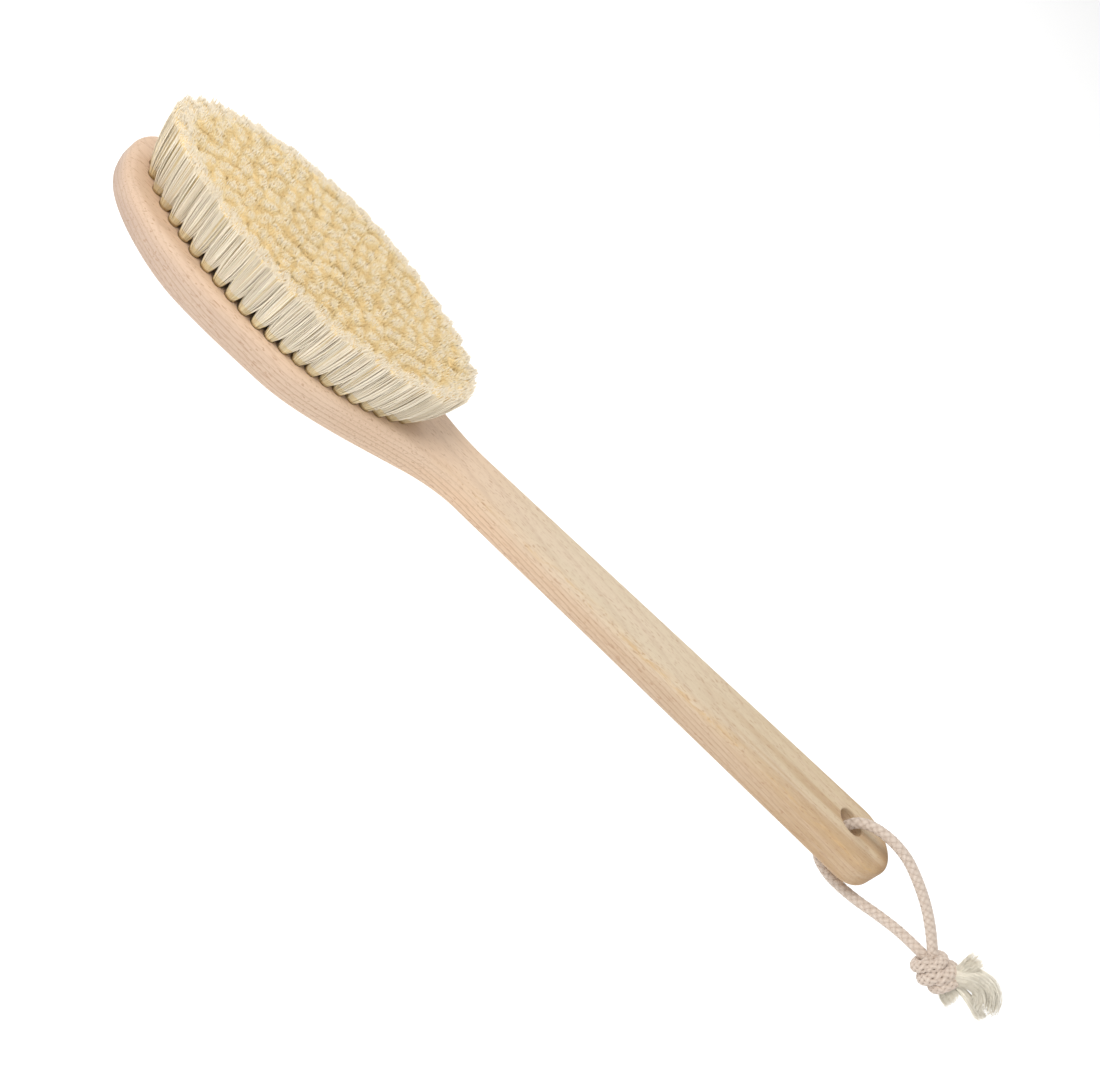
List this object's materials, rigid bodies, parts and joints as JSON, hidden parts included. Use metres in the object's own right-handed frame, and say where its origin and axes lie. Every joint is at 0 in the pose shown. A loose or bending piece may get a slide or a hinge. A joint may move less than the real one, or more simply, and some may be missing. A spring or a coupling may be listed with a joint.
{
  "type": "body dry brush",
  "caption": "Long-handled body dry brush: one-piece beech head and handle, oval field of splayed natural bristle tufts on hidden wire anchors, and a knotted cotton hanging cord.",
  "frame": {"origin": "centre of the flat land on the back of the head, under the middle of the bristle field", "axes": "+X along the handle to its hanging end, +Z from the back out through the bristle tips, +Y across the head"},
  "size_m": [0.4633, 0.0782, 0.0474],
  "materials": {
    "beech": "fine sanded, unvarnished",
    "bristle": "natural bristle, satin",
    "wire": "plated flat wire",
    "cotton": "braided cotton, matte"
  },
  "bodies": {
    "brush": {"beech_body": "beech", "anchor_01": "wire", "anchor_02": "wire", "anchor_03": "wire", "anchor_04": "wire", "anchor_05": "wire", "anchor_06": "wire", "anchor_07": "wire", "anchor_08": "wire", "anchor_09": "wire", "anchor_10": "wire", "anchor_11": "wire", "anchor_12": "wire", "anchor_13": "wire", "anchor_14": "wire", "anchor_15": "wire", "anchor_16": "wire", "anchor_17": "wire", "anchor_18": "wire", "anchor_19": "wire", "anchor_20": "wire", "anchor_21": "wire"},
    "bristles_01": {"tuft_row_01": "bristle"},
    "bristles_02": {"tuft_row_02": "bristle"},
    "bristles_03": {"tuft_row_03": "bristle"},
    "bristles_04": {"tuft_row_04": "bristle"},
    "bristles_05": {"tuft_row_05": "bristle"},
    "bristles_06": {"tuft_row_06": "bristle"},
    "bristles_07": {"tuft_row_07": "bristle"},
    "bristles_08": {"tuft_row_08": "bristle"},
    "bristles_09": {"tuft_row_09": "bristle"},
    "bristles_10": {"tuft_row_10": "bristle"},
    "bristles_11": {"tuft_row_11": "bristle"},
    "bristles_12": {"tuft_row_12": "bristle"},
    "bristles_13": {"tuft_row_13": "bristle"},
    "bristles_14": {"tuft_row_14": "bristle"},
    "bristles_15": {"tuft_row_15": "bristle"},
    "bristles_16": {"tuft_row_16": "bristle"},
    "bristles_17": {"tuft_row_17": "bristle"},
    "bristles_18": {"tuft_row_18": "bristle"},
    "bristles_19": {"tuft_row_19": "bristle"},
    "bristles_20": {"tuft_row_20": "bristle"},
    "bristles_21": {"tuft_row_21": "bristle"},
    "cord": {"hanging_cord": "cotton"},
    "tassel": {"cord_knot": "cotton", "cord_end_fluffed": "cotton", "cord_end_frayed": "cotton"}
  },
  "joints": [
    {"name": "lean_01", "type": "hinge", "parent": "brush", "child": "bristles_01", "pos_m": [-0.06094, 0, 0.0165], "axis": [0, 1, 0], "range_deg": [-8, 8], "stiffness_Nm_per_rad": 0.05},
    {"name": "lean_02", "type": "hinge", "parent": "brush", "child": "bristles_02", "pos_m": [-0.0553, 0, 0.0165], "axis": [0, 1, 0], "range_deg": [-8, 8], "stiffness_Nm_per_rad": 0.05},
    {"name": "lean_03", "type": "hinge", "parent": "brush", "child": "bristles_03", "pos_m": [-0.04979, 0, 0.0165], "axis": [0, 1, 0], "range_deg": [-8, 8], "stiffness_Nm_per_rad": 0.05},
    {"name": "lean_04", "type": "hinge", "parent": "brush", "child": "bristles_04", "pos_m": [-0.04385, 0, 0.0165], "axis": [0, 1, 0], "range_deg": [-8, 8], "stiffness_Nm_per_rad": 0.05},
    {"name": "lean_05", "type": "hinge", "parent": "brush", "child": "bristles_05", "pos_m": [-0.03775, 0, 0.0165], "axis": [0, 1, 0], "range_deg": [-8, 8], "stiffness_Nm_per_rad": 0.05},
    {"name": "lean_06", "type": "hinge", "parent": "brush", "child": "bristles_06", "pos_m": [-0.03156, 0, 0.0165], "axis": [0, 1, 0], "range_deg": [-8, 8], "stiffness_Nm_per_rad": 0.05},
    {"name": "lean_07", "type": "hinge", "parent": "brush", "child": "bristles_07", "pos_m": [-0.02531, 0, 0.0165], "axis": [0, 1, 0], "range_deg": [-8, 8], "stiffness_Nm_per_rad": 0.05},
    {"name": "lean_08", "type": "hinge", "parent": "brush", "child": "bristles_08", "pos_m": [-0.01902, 0, 0.0165], "axis": [0, 1, 0], "range_deg": [-8, 8], "stiffness_Nm_per_rad": 0.05},
    {"name": "lean_09", "type": "hinge", "parent": "brush", "child": "bristles_09", "pos_m": [-0.0127, 0, 0.0165], "axis": [0, 1, 0], "range_deg": [-8, 8], "stiffness_Nm_per_rad": 0.05},
    {"name": "lean_10", "type": "hinge", "parent": "brush", "child": "bristles_10", "pos_m": [-0.00635, 0, 0.0165], "axis": [0, 1, 0], "range_deg": [-8, 8], "stiffness_Nm_per_rad": 0.05},
    {"name": "bristle_lean", "type": "hinge", "parent": "brush", "child": "bristles_11", "pos_m": [0, 0, 0.0165], "axis": [0, 1, 0], "range_deg": [-8, 8], "stiffness_Nm_per_rad": 0.05},
    {"name": "lean_12", "type": "hinge", "parent": "brush", "child": "bristles_12", "pos_m": [0.00635, 0, 0.0165], "axis": [0, 1, 0], "range_deg": [-8, 8], "stiffness_Nm_per_rad": 0.05},
    {"name": "lean_13", "type": "hinge", "parent": "brush", "child": "bristles_13", "pos_m": [0.0127, 0, 0.0165], "axis": [0, 1, 0], "range_deg": [-8, 8], "stiffness_Nm_per_rad": 0.05},
    {"name": "lean_14", "type": "hinge", "parent": "brush", "child": "bristles_14", "pos_m": [0.01902, 0, 0.0165], "axis": [0, 1, 0], "range_deg": [-8, 8], "stiffness_Nm_per_rad": 0.05},
    {"name": "lean_15", "type": "hinge", "parent": "brush", "child": "bristles_15", "pos_m": [0.02531, 0, 0.0165], "axis": [0, 1, 0], "range_deg": [-8, 8], "stiffness_Nm_per_rad": 0.05},
    {"name": "lean_16", "type": "hinge", "parent": "brush", "child": "bristles_16", "pos_m": [0.03156, 0, 0.0165], "axis": [0, 1, 0], "range_deg": [-8, 8], "stiffness_Nm_per_rad": 0.05},
    {"name": "lean_17", "type": "hinge", "parent": "brush", "child": "bristles_17", "pos_m": [0.03775, 0, 0.0165], "axis": [0, 1, 0], "range_deg": [-8, 8], "stiffness_Nm_per_rad": 0.05},
    {"name": "lean_18", "type": "hinge", "parent": "brush", "child": "bristles_18", "pos_m": [0.04385, 0, 0.0165], "axis": [0, 1, 0], "range_deg": [-8, 8], "stiffness_Nm_per_rad": 0.05},
    {"name": "lean_19", "type": "hinge", "parent": "brush", "child": "bristles_19", "pos_m": [0.04979, 0, 0.0165], "axis": [0, 1, 0], "range_deg": [-8, 8], "stiffness_Nm_per_rad": 0.05},
    {"name": "lean_20", "type": "hinge", "parent": "brush", "child": "bristles_20", "pos_m": [0.0553, 0, 0.0165], "axis": [0, 1, 0], "range_deg": [-8, 8], "stiffness_Nm_per_rad": 0.05},
    {"name": "lean_21", "type": "hinge", "parent": "brush", "child": "bristles_21", "pos_m": [0.06094, 0, 0.0165], "axis": [0, 1, 0], "range_deg": [-8, 8], "stiffness_Nm_per_rad": 0.05},
    {"name": "cord_swing", "type": "hinge", "parent": "brush", "child": "cord", "pos_m": [0.3015, 0, 0.0088], "axis": [0, 0, 1], "range_deg": [-105, 145]},
    {"name": "tassel_bend", "type": "hinge", "parent": "cord", "child": "tassel", "pos_m": [0.356, -0.01984, 0.0093], "axis": [0, 0, 1], "range_deg": [-35, 35], "stiffness_Nm_per_rad": 0.0005}
  ],
  "couplings": [
    {"joint": "lean_01", "follows": "bristle_lean", "ratio": 1},
    {"joint": "lean_02", "follows": "bristle_lean", "ratio": 1},
    {"joint": "lean_03", "follows": "bristle_lean", "ratio": 1},
    {"joint": "lean_04", "follows": "bristle_lean", "ratio": 1},
    {"joint": "lean_05", "follows": "bristle_lean", "ratio": 1},
    {"joint": "lean_06", "follows": "bristle_lean", "ratio": 1},
    {"joint": "lean_07", "follows": "bristle_lean", "ratio": 1},
    {"joint": "lean_08", "follows": "bristle_lean", "ratio": 1},
    {"joint": "lean_09", "follows": "bristle_lean", "ratio": 1},
    {"joint": "lean_10", "follows": "bristle_lean", "ratio": 1},
    {"joint": "lean_12", "follows": "bristle_lean", "ratio": 1},
    {"joint": "lean_13", "follows": "bristle_lean", "ratio": 1},
    {"joint": "lean_14", "follows": "bristle_lean", "ratio": 1},
    {"joint": "lean_15", "follows": "bristle_lean", "ratio": 1},
    {"joint": "lean_16", "follows": "bristle_lean", "ratio": 1},
    {"joint": "lean_17", "follows": "bristle_lean", "ratio": 1},
    {"joint": "lean_18", "follows": "bristle_lean", "ratio": 1},
    {"joint": "lean_19", "follows": "bristle_lean", "ratio": 1},
    {"joint": "lean_20", "follows": "bristle_lean", "ratio": 1},
    {"joint": "lean_21", "follows": "bristle_lean", "ratio": 1}
  ]
}
